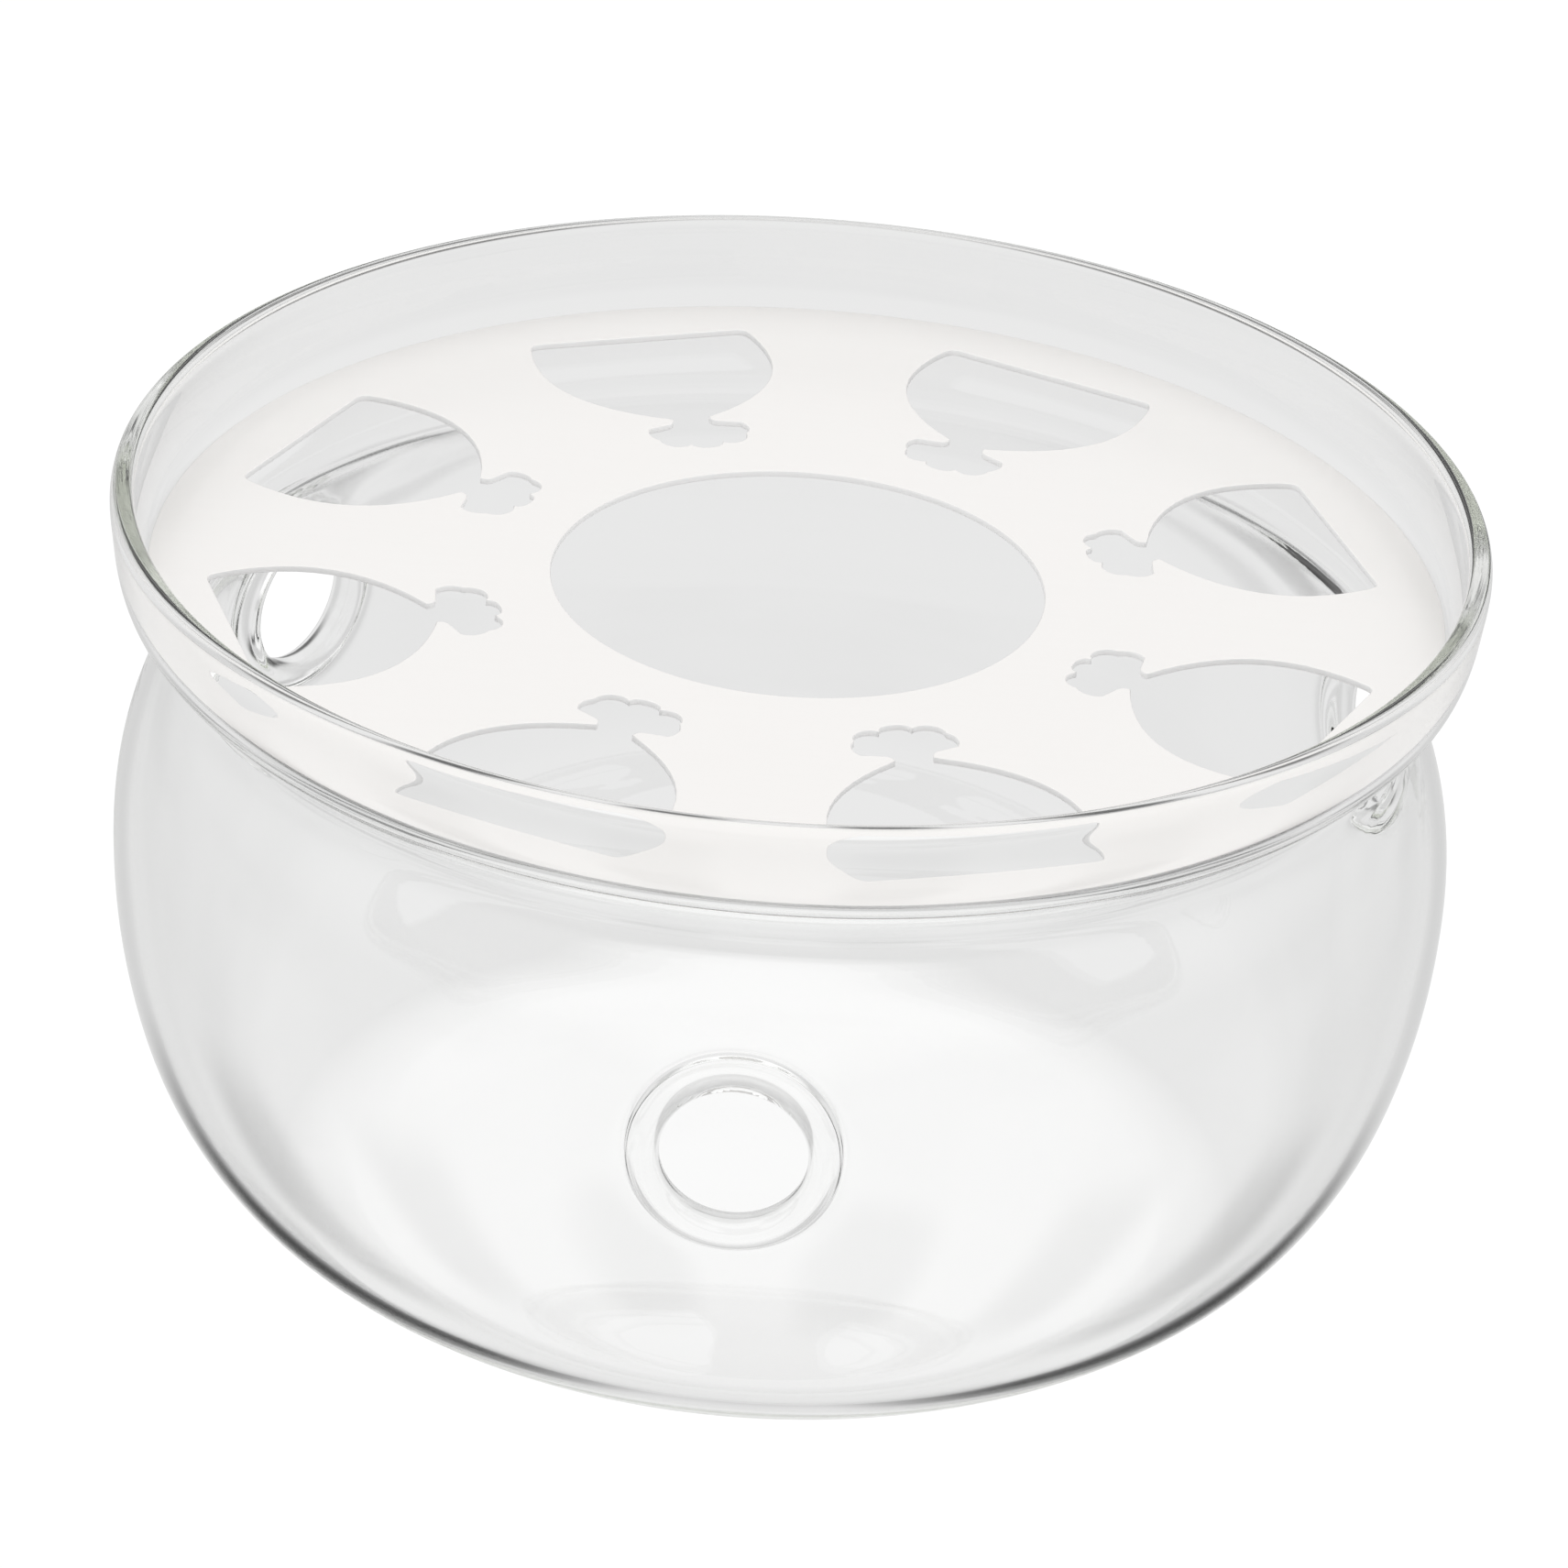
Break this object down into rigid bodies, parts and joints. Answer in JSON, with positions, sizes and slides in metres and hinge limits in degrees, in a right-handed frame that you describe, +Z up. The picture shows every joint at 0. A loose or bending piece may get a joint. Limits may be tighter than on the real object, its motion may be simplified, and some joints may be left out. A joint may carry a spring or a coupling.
{
  "type": "glass teapot warmer",
  "caption": "Blown glass bowl with a cupped rim and round air vents, holding a candle under a loose, pierced steel plate that carries a teapot.",
  "frame": {"origin": "centre of the face the bowl stands on", "axes": "+Z up along the bowl's axis, -Y towards the first air vent"},
  "size_m": [0.1398, 0.14, 0.0818],
  "materials": {
    "clear_glass": "clear, fire-polished borosilicate glass",
    "satin_steel": "satin stainless steel sheet with bright cut edges"
  },
  "bodies": {
    "bowl": {"glass_bowl": "clear_glass"},
    "plate": {"perforated_plate": "satin_steel"}
  },
  "joints": [
    {"name": "plate_lift", "type": "slide", "parent": "bowl", "child": "plate", "axis": [0, 0, 1], "range_m": [0, 0.04]}
  ]
}
